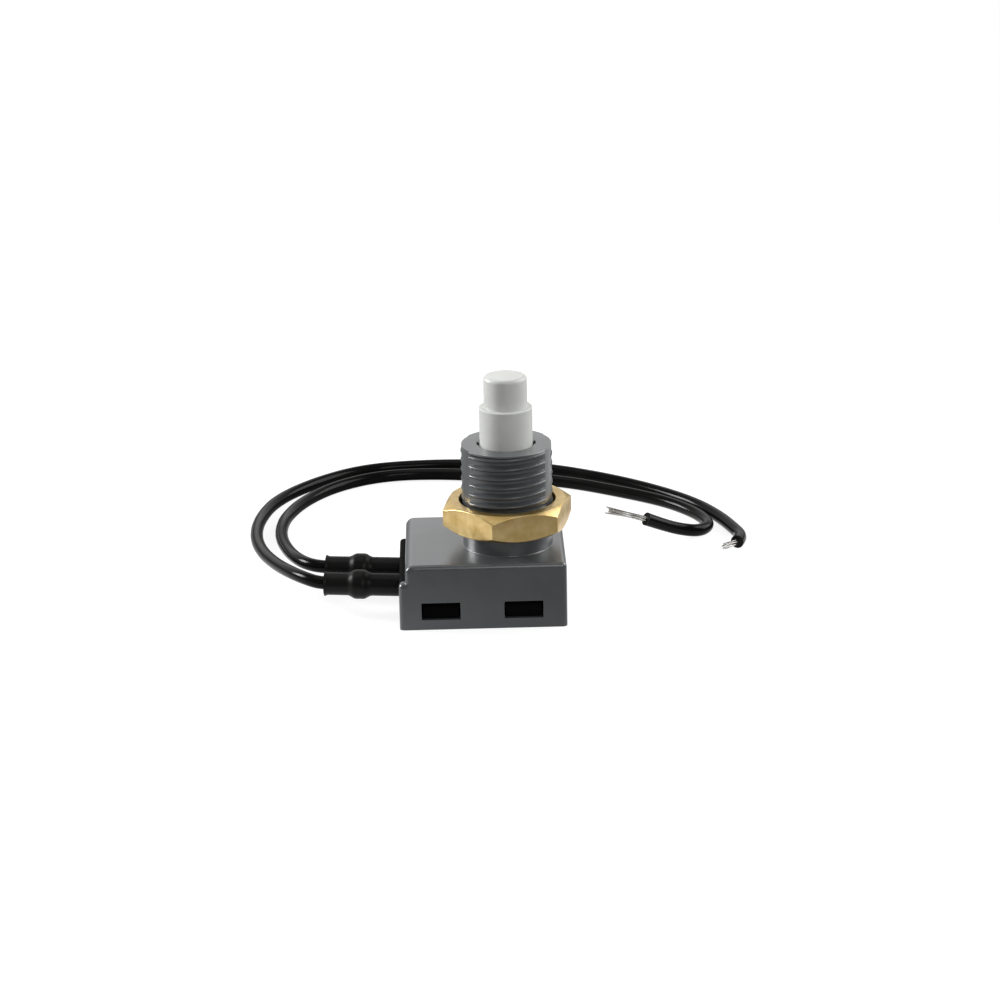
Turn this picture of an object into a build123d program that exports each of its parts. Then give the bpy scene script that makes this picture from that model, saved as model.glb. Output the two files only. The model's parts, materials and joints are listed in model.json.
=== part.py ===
"""Panel-mount push-on, push-off switch with two wire leads.

Frame: origin on the bushing's axis at the underside, +Z up through the button,
-Y towards the face with the latch windows, leads leaving at -X. Millimetres.
"""

import math
import os

from build123d import *

# Body moulding: a box that is open below and at its left end, with a cheek there in front
BODY_LENGTH = 21.8
BODY_DEPTH = 19.6
BODY_HEIGHT = 8.75
BODY_WALL = 1.2
ROOF_THICKNESS = 1.4
BODY_EDGE_RADIUS = 0.62
ROOF_RIGHT_RADIUS = 0.66
ROOF_END_RADIUS = 1.1
ROOF_SETBACK = 0.85
ROOF_LIP = 1.2
CHEEK_DROP = 2.4
CHEEK_TOP_RADIUS = 0.64
CHEEK_FOOT_RADIUS = 0.15
AXIS_FROM_RIGHT = 7.4
AXIS_FROM_FRONT = 8.55

# Latch windows, two in each long wall
WINDOW_WIDTH = 5.05
WINDOW_HEIGHT = 2.33
WINDOW_SILL = 1.35
WINDOW_SPACING = 10.75
WINDOW_FROM_RIGHT = 5.65

# Bushing: plain neck, then a moulded thread in a front and a back sector that runs out into plain strips
BUSHING_HEIGHT = 13.75
BUSHING_ROOT_RADIUS = 0.15
THREAD_DIA = 12.5
THREAD_DEPTH = 0.68
NECK_INSET = 0.38
THREAD_PITCH = 1.27
THREAD_CREST = 0.26
THREAD_CROWN = 0.07
THREAD_ROOT = 0.96
THREAD_CHORD = 9.9
THREAD_RELIEF = 3.08
THREAD_BURIED = 0.15
RIM_INSET = 0.15
RIM_HEIGHT = 0.2
RIM_EDGE = 0.06
GUIDE_LENGTH = 6.0
GUIDE_EDGE = 0.2
CHAMBER_DIA = 9.2

# Hex nut
NUT_SIDES = 6
NUT_FLATS = 15.3
NUT_THICKNESS = 3.65
NUT_SEAT = 2.6
NUT_TURN = 14.0
NUT_FACE_INSET = 0.1
NUT_CHAMFER = 33.0
NUT_CLEARANCE = 0.06
NUT_COUNTERSINK = 0.1

# Plunger
BUTTON_DIA = 5.65
BUTTON_LENGTH = 4.17
BUTTON_EDGE_RADIUS = 0.55
COLLAR_DIA = 6.92
COLLAR_PROUD = 5.0
COLLAR_EDGE = 0.12
FLANGE_THICKNESS = 1.4
PLUNGER_CORE_DIA = 3.0
PLUNGER_CROWN = 2.0
KEY_WIDTH = 1.1
KEY_HEIGHT = 0.3
KEY_LENGTH = 5.9
TRAVEL = 3.0
STOP_GAP = 0.1
GUIDE_CLEARANCE = 0.09
KEY_CLEARANCE = 0.1
FLANGE_CLEARANCE = 0.15

# Ratchet between plunger and rotor
TOOTH_COUNT = 8
FLANK_ANGLE = 42.0
TOOTH_GAP = 0.3
RATCHET_WALL = 1.1
RATCHET_CLEARANCE = 0.4

# Rotor
ROTOR_DISC = 1.1
TOOTH_FOOT = 1.0
ROTOR_BOSS_HEIGHT = 2.1
ROTOR_BOSS_GAP = 0.35
ROTOR_HUB_DIA = 3.2
SPINDLE_DIA = 2.3
SPINDLE_CLEARANCE = 0.08
SPINDLE_TIP_GAP = 0.3
THRUST_GAP = 0.1
DRIVE_PEG_DIA = 0.7
DRIVE_PEG_CIRCLE = 4.3
DRIVE_PEG_PROUD = 0.2
SMALL_FIT = 0.05

# Return spring
SPRING_DIA = 3.9
SPRING_WIRE = 0.5
SPRING_TURNS = 6
SPRING_POCKET_CLEARANCE = 0.2
SPRING_POCKET_DEPTH = 2.5
SPRING_SEAT_GAP = 0.05

# Star contact
STAR_THICKNESS = 0.3
STAR_HUB_DIA = 5.4
STAR_ARM_WIDTH = 1.3
STAR_ARM_DROP = 0.7
STAR_ARM_TIP = 0.5
STAR_TIP_RISE = 0.25
CONTACT_CIRCLE = 6.8
CONTACT_GAP = 0.1
ARM_COUNT = 4

# Base moulding
BASE_THICKNESS = 1.4
BASE_FIT = 0.06
END_WALL = 1.3
END_WALL_TOP_GAP = 0.3
END_WALL_RADIUS = 0.5
THRUST_BOSS_DIA = 3.6
LATCH_THICKNESS = 0.9
LATCH_SIDE_GAP = 0.2
LATCH_SILL_GAP = 0.1
LATCH_NOSE = 0.8
LATCH_NOSE_HEIGHT = 0.7
LATCH_TOP_GAP = 0.3
BARRIER_THICKNESS = 1.0
BARRIER_HEIGHT = 3.2
BARRIER_GAP = 1.0
PEG_DIA = 1.2
PEG_PROUD = 0.5

# Terminals and fixed contacts
STRIP_THICKNESS = 0.4
STRIP_WIDTH = 2.6
STRIP_OVERHANG = 1.5
STRIP_PEG_FROM_WALL = 6.0
UPSTAND_FROM_WALL = 3.8
UPSTAND_HEIGHT = 4.2
CONTACT_DIA = 1.8
CONTACT_CROWN_DIA = 0.9
CONTACT_HEAD = 0.4
CONTACT_SHANK_DIA = 0.85

# Wiring, measured along each lead from the end wall
LEAD_DIA = 1.75
LEAD_SPACING = 6.15
LEAD_MIDDLE = 0.725
SLEEVE_COVER = 0.49
LEAD_SPLAY = 7.0
LEAD_START = 7.5
LEAD_BEND = 10.4
STRIPPED_DIA = 0.9
STRIPPED_DEPTH = 1.4
WIRE_FIT = 0.03
PIGTAIL_DIA = 2.2
PIGTAIL_CORE_DIA = 1.0
PIGTAIL_INNER = 2.7
PIGTAIL_LENGTH = 4.1
CORE_TAIL = 0.8
SPLICE_START = 4.4
SPLICE_LENGTH = 1.7
SPLICE_DIA = 3.0
SPLICE_EDGE = 0.2
SPLICE_MIDDLE_GAP = 0.2
SLEEVE_DIA = 3.0
SLEEVE_LENGTH = 9.9
SLEEVE_INNER = 1.2
SLEEVE_BULGE_WALL = 0.42
SLEEVE_BLEND = 0.6
SLEEVE_BULGE_RADIUS = 1.0
SLEEVE_FLARE = 0.16
SLEEVE_FLARE_LENGTH = 0.35

# Stripped ends: straight out of the insulation, then bent to the tip
FRONT_TIP = (29.8, 17.7, 0.75)
REAR_TIP = (14.2, 23.6, 4.6)
END_STRAIGHT = 0.7
END_BEND_RADIUS = 1.0

# Share of the shorter run that a bend in a lead may use, and how far cutters run past a face
RUN_SHARE = 0.45
OVERRUN = 1.0

# Points of each lead after it has left its sleeve, lying on the table where z is on_table
on_table = LEAD_DIA / 2
FRONT_ROUTE = [
    (-27.0, 0.6, 3.95),
    (-29.1, 3.9, 3.65),
    (-31.2, 9.0, 3.1),
    (-33.5, 15.8, 2.4),
    (-34.9, 23.9, 1.7),
    (-35.0, 33.1, 1.0),
    (-33.0, 41.8, on_table),
    (-27.8, 49.2, on_table),
    (-20.8, 54.9, on_table),
    (-12.2, 56.7, on_table),
    (-2.3, 56.0, on_table),
    (6.7, 53.5, on_table),
    (14.8, 48.7, on_table),
    (21.9, 42.9, on_table),
    (27.6, 36.4, on_table),
    (30.7, 30.2, on_table),
    (32.2, 25.4, on_table),
    (33.4, 21.4, on_table),
    (32.2, 19.3, on_table),
]
REAR_ROUTE = [
    (-26.9, 6.6, 3.95),
    (-28.5, 9.5, 3.75),
    (-29.8, 14.0, 3.2),
    (-31.0, 20.4, 2.4),
    (-31.5, 27.2, 1.6),
    (-31.0, 34.2, 0.95),
    (-28.4, 40.8, on_table),
    (-23.5, 47.0, on_table),
    (-16.8, 51.3, on_table),
    (-8.4, 51.7, on_table),
    (1.4, 49.9, on_table),
    (9.8, 47.1, on_table),
    (17.5, 42.0, on_table),
    (23.5, 37.4, on_table),
    (27.0, 32.8, on_table),
    (28.6, 29.2, on_table),
    (28.9, 26.3, on_table),
    (27.3, 24.2, on_table),
    (24.5, 23.8, 1.4),
    (22.0, 23.0, 2.45),
    (19.7, 21.9, 3.7),
]

# Faces of the body
right = AXIS_FROM_RIGHT
left = right - BODY_LENGTH
front = -AXIS_FROM_FRONT
back = front + BODY_DEPTH
middle_y = (front + back) / 2
ceiling = BODY_HEIGHT - ROOF_THICKNESS
roof_left = left + ROOF_SETBACK
cheek_height = BODY_HEIGHT - CHEEK_DROP

# Levels of the bushing and the plunger
rim = BODY_HEIGHT + BUSHING_HEIGHT
shoulder = rim - GUIDE_LENGTH
flange_top = shoulder - STOP_GAP
flange_bottom = flange_top - FLANGE_THICKNESS
collar_top = rim + COLLAR_PROUD
button_top = collar_top + BUTTON_LENGTH
core_radius = THREAD_DIA / 2 - THREAD_DEPTH
neck_radius = THREAD_DIA / 2 - NECK_INSET
rim_radius = THREAD_DIA / 2 - RIM_INSET
chamber_radius = CHAMBER_DIA / 2
guide_radius = COLLAR_DIA / 2 + GUIDE_CLEARANCE
first_ridge = BODY_HEIGHT + THREAD_RELIEF
neck_top = first_ridge - THREAD_ROOT / 2
ridge_count = int((rim - first_ridge) / THREAD_PITCH) + 1
key_radius = COLLAR_DIA / 2 + KEY_HEIGHT

# Levels of the contacts and the rotor, stacked on the base
strip_top = BASE_THICKNESS + STRIP_THICKNESS
contact_top = strip_top + CONTACT_HEAD
arm_bottom = contact_top + CONTACT_GAP
star_bottom = arm_bottom + STAR_ARM_DROP
disc_bottom = star_bottom + STAR_THICKNESS
disc_top = disc_bottom + ROTOR_DISC
tooth_valley = disc_top + TOOTH_FOOT
boss_top = disc_top + ROTOR_BOSS_HEIGHT
hub_bottom = star_bottom - DRIVE_PEG_PROUD - SMALL_FIT
thrust_level = hub_bottom - THRUST_GAP
spindle_top = boss_top - SPINDLE_TIP_GAP
drive_pegs = [
    Rot(0, 0, (i + 0.5) * 360 / ARM_COUNT) * Pos(DRIVE_PEG_CIRCLE / 2, 0, 0) for i in range(ARM_COUNT)
]

# Ratchet: one press turns the rotor by one tooth
step_angle = 360 / TOOTH_COUNT
tooth_height = TRAVEL * FLANK_ANGLE / step_angle
ratchet_outer = chamber_radius - RATCHET_CLEARANCE
ratchet_inner = ratchet_outer - RATCHET_WALL
skirt_tip = tooth_valley + TOOTH_GAP + TRAVEL
pocket_top = flange_bottom + SPRING_POCKET_DEPTH
pocket_radius = (SPRING_DIA + SPRING_WIRE) / 2 + SPRING_POCKET_CLEARANCE

# Where the latch windows are
window_x = [right - WINDOW_FROM_RIGHT - i * WINDOW_SPACING for i in range(2)]
window_z = WINDOW_SILL + WINDOW_HEIGHT / 2

# Outside of the base, a fit inside the body's walls
base_front = front + BODY_WALL + BASE_FIT
base_back = back - BODY_WALL - BASE_FIT
base_right = right - BODY_WALL - BASE_FIT
end_wall_top = cheek_height - END_WALL_TOP_GAP
upstand_x = left + UPSTAND_FROM_WALL

# Lead axes: each leaves the end wall under its top edge at its own depth, splayed towards the back
lead_height = end_wall_top - SLEEVE_COVER - BASE_FIT - SLEEVE_DIA / 2
lead_direction = Vector(-math.cos(math.radians(LEAD_SPLAY)), math.sin(math.radians(LEAD_SPLAY)), 0)
lead_depth = {
    "front": LEAD_MIDDLE - LEAD_SPACING / 2,
    "rear": LEAD_MIDDLE + LEAD_SPACING / 2,
}
lead_route = {"front": FRONT_ROUTE, "rear": REAR_ROUTE}
lead_tip = {"front": FRONT_TIP, "rear": REAR_TIP}
splice_end = SPLICE_START + SPLICE_LENGTH
splice_middle = SPLICE_START + SPLICE_LENGTH / 2


def block(x0, x1, y0, y1, z0, z1):
    """A box between two corners."""
    box = Box(x1 - x0, y1 - y0, z1 - z0)
    return Pos((x0 + x1) / 2, (y0 + y1) / 2, (z0 + z1) / 2) * box


def disc(radius, z0, z1):
    """A cylinder on the bushing's axis between two levels."""
    return Pos(0, 0, (z0 + z1) / 2) * Cylinder(radius, z1 - z0)


def turned(points):
    """A solid of revolution on the local Z axis from its half section (radius, height)."""
    return revolve(make_face(Plane.XZ * Polyline(*points, close=True)), Axis.Z)


def thread_sectors(z0, z1):
    """The block that holds the threaded front and back of the bushing between two levels."""
    return block(-THREAD_CHORD / 2, THREAD_CHORD / 2, -THREAD_DIA, THREAD_DIA, z0, z1)


def thread_core():
    """The lens that the ridges stand on: deepest in the middle of each sector, flush with the strips."""
    half = THREAD_CHORD / 2
    sag = core_radius - math.sqrt(neck_radius**2 - half**2)
    radius = (half**2 + sag**2) / (2 * sag)
    side = disc(radius, neck_top, rim)
    offset = radius - core_radius
    return (Pos(0, offset, 0) * side) & (Pos(0, -offset, 0) * side)


def thread_ridge():
    """One turn's ridge in the front sector, its middle at height 0."""
    buried = core_radius - THREAD_BURIED
    flank_top = THREAD_DIA / 2 - THREAD_CROWN
    flank_slope = (THREAD_ROOT - THREAD_CREST) / 2 / (flank_top - core_radius)
    half_foot = THREAD_ROOT / 2 + THREAD_BURIED * flank_slope
    half_crest = THREAD_CREST / 2
    crown = ThreePointArc((flank_top, -half_crest), (THREAD_DIA / 2, 0), (flank_top, half_crest))
    flanks = Polyline((flank_top, half_crest), (buried, half_foot), (buried, -half_foot), (flank_top, -half_crest))
    section = make_face(Plane.XZ * (crown + flanks))
    half_turn = THREAD_PITCH / 2
    ridge = sweep(section, path=Helix(THREAD_PITCH, half_turn, core_radius), is_frenet=True)
    ridge = Rot(0, 0, 180) * Pos(0, 0, -half_turn / 2) * ridge
    return ridge & thread_sectors(-THREAD_PITCH, THREAD_PITCH)


def body_box():
    """The outside of the body: its side outline along the depth, with rounded edges."""
    outline = make_face(
        Plane.XZ
        * Polyline(
            (left, 0),
            (right, 0),
            (right, BODY_HEIGHT),
            (roof_left, BODY_HEIGHT),
            (roof_left, cheek_height),
            (left, cheek_height),
            close=True,
        )
    )
    roundings = [
        ((right, 0, BODY_HEIGHT), ROOF_RIGHT_RADIUS),
        ((roof_left, 0, BODY_HEIGHT), ROOF_END_RADIUS),
        ((roof_left, 0, cheek_height), CHEEK_FOOT_RADIUS),
        ((left, 0, cheek_height), CHEEK_TOP_RADIUS),
    ]
    for corner, radius in roundings:
        outline = fillet(outline.vertices().sort_by_distance(corner)[0], radius)
    box = Pos(0, front, 0) * extrude(outline, BODY_DEPTH, dir=(0, 1, 0))
    beyond_cheek = front + BODY_WALL
    cheek_top = cheek_height + CHEEK_FOOT_RADIUS
    box -= block(left - OVERRUN, roof_left, beyond_cheek, back + OVERRUN, -OVERRUN, cheek_top)
    faces = box.faces().sort_by(Axis.Y)
    rims = faces[0].edges() + faces[-1].edges()
    return fillet([e for e in rims if e.center().Z > BODY_EDGE_RADIUS], BODY_EDGE_RADIUS)


def housing():
    """Body, bushing and thread in one moulding."""
    body = body_box()
    inner_left = roof_left + ROOF_LIP
    cavity_front = front + BODY_WALL
    cavity_back = back - BODY_WALL
    body -= block(inner_left, right - BODY_WALL, cavity_front, cavity_back, -OVERRUN, ceiling)
    body -= block(left - OVERRUN, inner_left, cavity_front, cavity_back, -OVERRUN, cheek_height)
    for x in window_x:
        for y in (front + BODY_WALL / 2, back - BODY_WALL / 2):
            body -= Pos(x, y, window_z) * Box(WINDOW_WIDTH, 2 * BODY_WALL, WINDOW_HEIGHT)

    body += disc(neck_radius, ceiling, rim)
    foot = body.edges().filter_by(GeomType.CIRCLE).sort_by_distance((neck_radius, 0, BODY_HEIGHT))[0]
    body = fillet(foot, BUSHING_ROOT_RADIUS)
    rim_foot = rim - RIM_HEIGHT
    body -= disc(THREAD_DIA, neck_top, rim_foot) - thread_core()
    rim_ring = turned(
        [
            (0, rim_foot),
            (rim_radius, rim_foot),
            (rim_radius, rim - RIM_EDGE),
            (rim_radius - RIM_EDGE, rim),
            (0, rim),
        ]
    )
    body += rim_ring & thread_sectors(rim_foot, rim)

    ridge = thread_ridge()
    opposite = Pos(0, 0, THREAD_PITCH / 2) * Rot(0, 0, 180) * ridge
    ridges = [Pos(0, 0, first_ridge + i * THREAD_PITCH) * ridge for i in range(ridge_count)]
    ridges += [Pos(0, 0, first_ridge + i * THREAD_PITCH) * opposite for i in range(ridge_count - 1)]
    body = body.fuse(*ridges) - disc(THREAD_DIA, rim, rim + OVERRUN)

    bore = [
        (0, ceiling - OVERRUN),
        (chamber_radius, ceiling - OVERRUN),
        (chamber_radius, shoulder),
        (guide_radius, shoulder),
        (guide_radius, rim - GUIDE_EDGE),
        (guide_radius + GUIDE_EDGE, rim),
        (guide_radius + GUIDE_EDGE, rim + OVERRUN),
        (0, rim + OVERRUN),
    ]
    body -= turned(bore)
    keyway = key_radius + KEY_CLEARANCE
    key_side = KEY_WIDTH / 2 + KEY_CLEARANCE
    return body - block(-keyway, keyway, -key_side, key_side, shoulder, rim + OVERRUN)


def mounting_nut():
    """Hex nut with its corners chamfered and its bore countersunk on both faces."""
    bottom = BODY_HEIGHT + NUT_SEAT
    top = bottom + NUT_THICKNESS
    bore = THREAD_DIA / 2 + NUT_CLEARANCE
    face = NUT_FLATS / 2 - NUT_FACE_INSET
    beyond = NUT_FLATS / 2 / math.cos(math.pi / NUT_SIDES) + OVERRUN
    drop = (beyond - face) * math.tan(math.radians(NUT_CHAMFER))
    hexagon = RegularPolygon(NUT_FLATS / 2, NUT_SIDES, major_radius=False, rotation=-90 - NUT_TURN)
    nut = Pos(0, 0, bottom) * extrude(hexagon, NUT_THICKNESS)
    nut &= turned(
        [
            (0, bottom),
            (face, bottom),
            (beyond, bottom + drop),
            (beyond, top - drop),
            (face, top),
            (0, top),
        ]
    )
    nut -= turned(
        [
            (0, bottom - OVERRUN),
            (bore + NUT_COUNTERSINK, bottom - OVERRUN),
            (bore + NUT_COUNTERSINK, bottom),
            (bore, bottom + NUT_COUNTERSINK),
            (bore, top - NUT_COUNTERSINK),
            (bore + NUT_COUNTERSINK, top),
            (bore + NUT_COUNTERSINK, top + OVERRUN),
            (0, top + OVERRUN),
        ]
    )
    return nut


def ratchet_tooth(below, above):
    """A helical step that climbs one tooth height, with solid below and above its ramp's start."""
    section = make_face(
        Plane.XZ
        * Polyline(
            (ratchet_inner, -below),
            (ratchet_outer, -below),
            (ratchet_outer, above),
            (ratchet_inner, above),
            close=True,
        )
    )
    lead = tooth_height * 360 / FLANK_ANGLE
    ramp = Helix(lead, tooth_height, (ratchet_inner + ratchet_outer) / 2)
    return sweep(section, path=ramp, is_frenet=True)


def tooth_ring(tooth, level):
    """The ring of teeth at a level."""
    return [Pos(0, 0, level) * Rot(0, 0, i * step_angle) * tooth for i in range(TOOTH_COUNT)]


def plunger():
    """Button, collar, keys, stop flange and toothed skirt."""
    skirt_root = skirt_tip + tooth_height
    flange = chamber_radius - FLANGE_CLEARANCE
    collar = COLLAR_DIA / 2
    body = turned(
        [
            (0, skirt_root),
            (ratchet_outer, skirt_root),
            (ratchet_outer, flange_bottom),
            (flange, flange_bottom),
            (flange, flange_top),
            (collar, flange_top),
            (collar, collar_top - COLLAR_EDGE),
            (collar - COLLAR_EDGE, collar_top),
            (BUTTON_DIA / 2, collar_top),
            (BUTTON_DIA / 2, button_top),
            (0, button_top),
        ]
    )
    crown = body.edges().filter_by(GeomType.CIRCLE).sort_by(Axis.Z)[-1]
    body = fillet(crown, BUTTON_EDGE_RADIUS)
    for side in (-1, 1):
        rib = block(0, key_radius, -KEY_WIDTH / 2, KEY_WIDTH / 2, flange_top, flange_top + KEY_LENGTH)
        body += Rot(0, 0, 90 - 90 * side) * rib
    tooth = ratchet_tooth(0, tooth_height) & disc(CHAMBER_DIA, 0, tooth_height)
    body = body.fuse(*tooth_ring(tooth, skirt_tip))
    body -= turned(
        [
            (0, skirt_tip - OVERRUN),
            (ratchet_inner, skirt_tip - OVERRUN),
            (ratchet_inner, flange_bottom),
            (pocket_radius, flange_bottom),
            (pocket_radius, pocket_top),
            (PLUNGER_CORE_DIA / 2, pocket_top),
            (PLUNGER_CORE_DIA / 2, button_top - PLUNGER_CROWN),
            (0, button_top - PLUNGER_CROWN),
        ]
    )
    return body


def index_rotor():
    """Ratchet wheel with its spring boss, running on the base's spindle."""
    boss = ratchet_inner - ROTOR_BOSS_GAP
    hub = ROTOR_HUB_DIA / 2
    bore = SPINDLE_DIA / 2 + SPINDLE_CLEARANCE
    wheel = turned(
        [
            (bore, hub_bottom),
            (hub, hub_bottom),
            (hub, disc_bottom),
            (ratchet_outer, disc_bottom),
            (ratchet_outer, tooth_valley),
            (ratchet_inner, tooth_valley),
            (ratchet_inner, disc_top),
            (boss, disc_top),
            (boss, boss_top),
            (bore, boss_top),
        ]
    )
    tooth = ratchet_tooth(tooth_height, 0) & disc(CHAMBER_DIA, 0, tooth_height)
    wheel = wheel.fuse(*tooth_ring(tooth, tooth_valley))
    peg = disc(DRIVE_PEG_DIA / 2, star_bottom - DRIVE_PEG_PROUD, disc_bottom)
    for place in drive_pegs:
        wheel += place * peg
    return wheel


def contact_star():
    """Four-arm sheet contact: each arm dips to its contact and turns up at the tip."""
    star = disc(STAR_HUB_DIA / 2, star_bottom, disc_bottom)
    reach = CONTACT_CIRCLE / 2
    hub = STAR_HUB_DIA / 2 - STAR_THICKNESS
    middle_line = [(0, star_bottom), (hub, star_bottom), (reach, arm_bottom)]
    middle_line += [(reach + STAR_ARM_TIP, arm_bottom + STAR_TIP_RISE)]
    upper_line = [(x, z + STAR_THICKNESS) for x, z in reversed(middle_line)]
    side = make_face(Plane.XZ * Polyline(*middle_line, *upper_line, close=True))
    arm = extrude(side, STAR_ARM_WIDTH / 2, both=True)
    for i in range(ARM_COUNT):
        star += Rot(0, 0, i * 360 / ARM_COUNT) * arm
    star -= disc(ROTOR_HUB_DIA / 2 + SMALL_FIT, arm_bottom, disc_bottom + OVERRUN)
    hole = disc(DRIVE_PEG_DIA / 2 + SMALL_FIT, arm_bottom, disc_bottom + OVERRUN)
    for place in drive_pegs:
        star -= place * hole
    return star


def return_spring():
    """Coil between the rotor's boss and the plunger's pocket, its wire an octagon in section."""
    low = boss_top + SPRING_SEAT_GAP + SPRING_WIRE / 2
    high = pocket_top - SPRING_SEAT_GAP - SPRING_WIRE / 2
    coil = Helix((high - low) / SPRING_TURNS, high - low, SPRING_DIA / 2, center=(0, 0, low))
    wire = RegularPolygon(SPRING_WIRE / 2, 8)
    return sweep(Plane(coil @ 0, z_dir=coil % 0) * wire, path=coil, is_frenet=True)


def latch(x):
    """A front latch: an arm with a nose that sits on its window's sill."""
    half = WINDOW_WIDTH / 2 - LATCH_SIDE_GAP
    top = WINDOW_SILL + WINDOW_HEIGHT - LATCH_TOP_GAP
    catch = WINDOW_SILL + LATCH_SILL_GAP
    side = make_face(
        Plane.YZ
        * Polyline(
            (base_front + LATCH_THICKNESS, 0),
            (base_front, 0),
            (base_front, catch),
            (base_front - LATCH_NOSE, catch),
            (base_front - LATCH_NOSE, catch + LATCH_NOSE_HEIGHT),
            (base_front, top),
            (base_front + LATCH_THICKNESS, top),
            close=True,
        )
    )
    return Pos(x, 0, 0) * extrude(side, half, both=True)


def base():
    """Plate with end wall, latches, spindle, barrier and terminal pegs."""
    plate = block(left, base_right, base_front, base_back, 0, BASE_THICKNESS)
    wall = block(left, left + END_WALL, base_front, base_back, 0, end_wall_top)
    top_edge = wall.edges().filter_by(Axis.Y).sort_by_distance((left, middle_y, end_wall_top))[0]
    wall = fillet(top_edge, END_WALL_RADIUS)
    body = plate + wall
    for x in window_x:
        nose = latch(x)
        body += nose
        body += Pos(0, 2 * middle_y, 0) * nose.mirror(Plane.XZ)
    body += disc(THRUST_BOSS_DIA / 2, 0, thrust_level)
    body += disc(SPINDLE_DIA / 2, 0, spindle_top)
    barrier_end = -ratchet_outer - BARRIER_GAP
    body += block(
        left,
        barrier_end,
        LEAD_MIDDLE - BARRIER_THICKNESS / 2,
        LEAD_MIDDLE + BARRIER_THICKNESS / 2,
        0,
        BASE_THICKNESS + BARRIER_HEIGHT,
    )
    for name in lead_depth:
        peg = Cylinder(PEG_DIA / 2, strip_top + PEG_PROUD)
        body += Pos(left + STRIP_PEG_FROM_WALL, strip_depth(name), (strip_top + PEG_PROUD) / 2) * peg
        body -= rod(name, -END_WALL - OVERRUN, OVERRUN, SLEEVE_DIA + 2 * BASE_FIT)
    return body


def strip_depth(name):
    """The depth of a terminal's middle, under its contact."""
    return CONTACT_CIRCLE / 2 * (-1 if name == "front" else 1)


def lead_frame(name):
    """A location on the end wall with its Z axis along the lead."""
    origin = (left, lead_depth[name], lead_height)
    return Plane(origin=origin, x_dir=(0, 0, 1), z_dir=lead_direction).location


def rod(name, start, end, dia):
    """A cylinder along a lead's axis between two distances from the end wall."""
    return lead_frame(name) * Pos(0, 0, (start + end) / 2) * Cylinder(dia / 2, end - start)


def terminal(name):
    """Floor strip with an upstand that takes the pigtail's conductor."""
    y = strip_depth(name)
    side = make_face(
        Plane.XZ
        * Polyline(
            (STRIP_OVERHANG, BASE_THICKNESS),
            (STRIP_OVERHANG, strip_top),
            (upstand_x, strip_top),
            (upstand_x, BASE_THICKNESS + UPSTAND_HEIGHT),
            (upstand_x - STRIP_THICKNESS, BASE_THICKNESS + UPSTAND_HEIGHT),
            (upstand_x - STRIP_THICKNESS, BASE_THICKNESS),
            close=True,
        )
    )
    strip = Pos(0, y, 0) * extrude(side, STRIP_WIDTH / 2, both=True)
    strip -= Pos(0, y, strip_top) * Cylinder(CONTACT_SHANK_DIA / 2 + SMALL_FIT, 2 * OVERRUN)
    strip -= Pos(left + STRIP_PEG_FROM_WALL, y, strip_top) * Cylinder(PEG_DIA / 2 + SMALL_FIT, 2 * OVERRUN)
    return strip - rod(name, -UPSTAND_FROM_WALL - CORE_TAIL, 0, PIGTAIL_CORE_DIA + 2 * WIRE_FIT)


def fixed_contact(name):
    """Domed contact button with its shank through the strip."""
    head = turned(
        [
            (0, BASE_THICKNESS),
            (CONTACT_SHANK_DIA / 2, BASE_THICKNESS),
            (CONTACT_SHANK_DIA / 2, strip_top),
            (CONTACT_DIA / 2, strip_top),
            (CONTACT_DIA / 2, strip_top + CONTACT_HEAD / 2),
            (CONTACT_CROWN_DIA / 2, contact_top),
            (0, contact_top),
        ]
    )
    return Pos(0, strip_depth(name), 0) * head


def pigtail(name):
    """Insulation of the stub wire from the terminal to the splice."""
    tube = rod(name, -PIGTAIL_INNER, PIGTAIL_LENGTH, PIGTAIL_DIA)
    bore = PIGTAIL_CORE_DIA + 2 * WIRE_FIT
    return tube - rod(name, -PIGTAIL_INNER - OVERRUN, PIGTAIL_LENGTH + OVERRUN, bore)


def pigtail_core(name):
    """Conductor of the stub wire, through the upstand and into the splice."""
    end = splice_middle - SPLICE_MIDDLE_GAP / 2
    return rod(name, -UPSTAND_FROM_WALL - CORE_TAIL, end, PIGTAIL_CORE_DIA)


def splice(name):
    """Crimp barrel over the two conductors."""
    bore = PIGTAIL_CORE_DIA / 2 + WIRE_FIT
    outer = SPLICE_DIA / 2
    barrel = turned(
        [
            (bore, SPLICE_START),
            (outer - SPLICE_EDGE, SPLICE_START),
            (outer, SPLICE_START + SPLICE_EDGE),
            (outer, splice_end - SPLICE_EDGE),
            (outer - SPLICE_EDGE, splice_end),
            (bore, splice_end),
        ]
    )
    return lead_frame(name) * barrel


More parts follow.
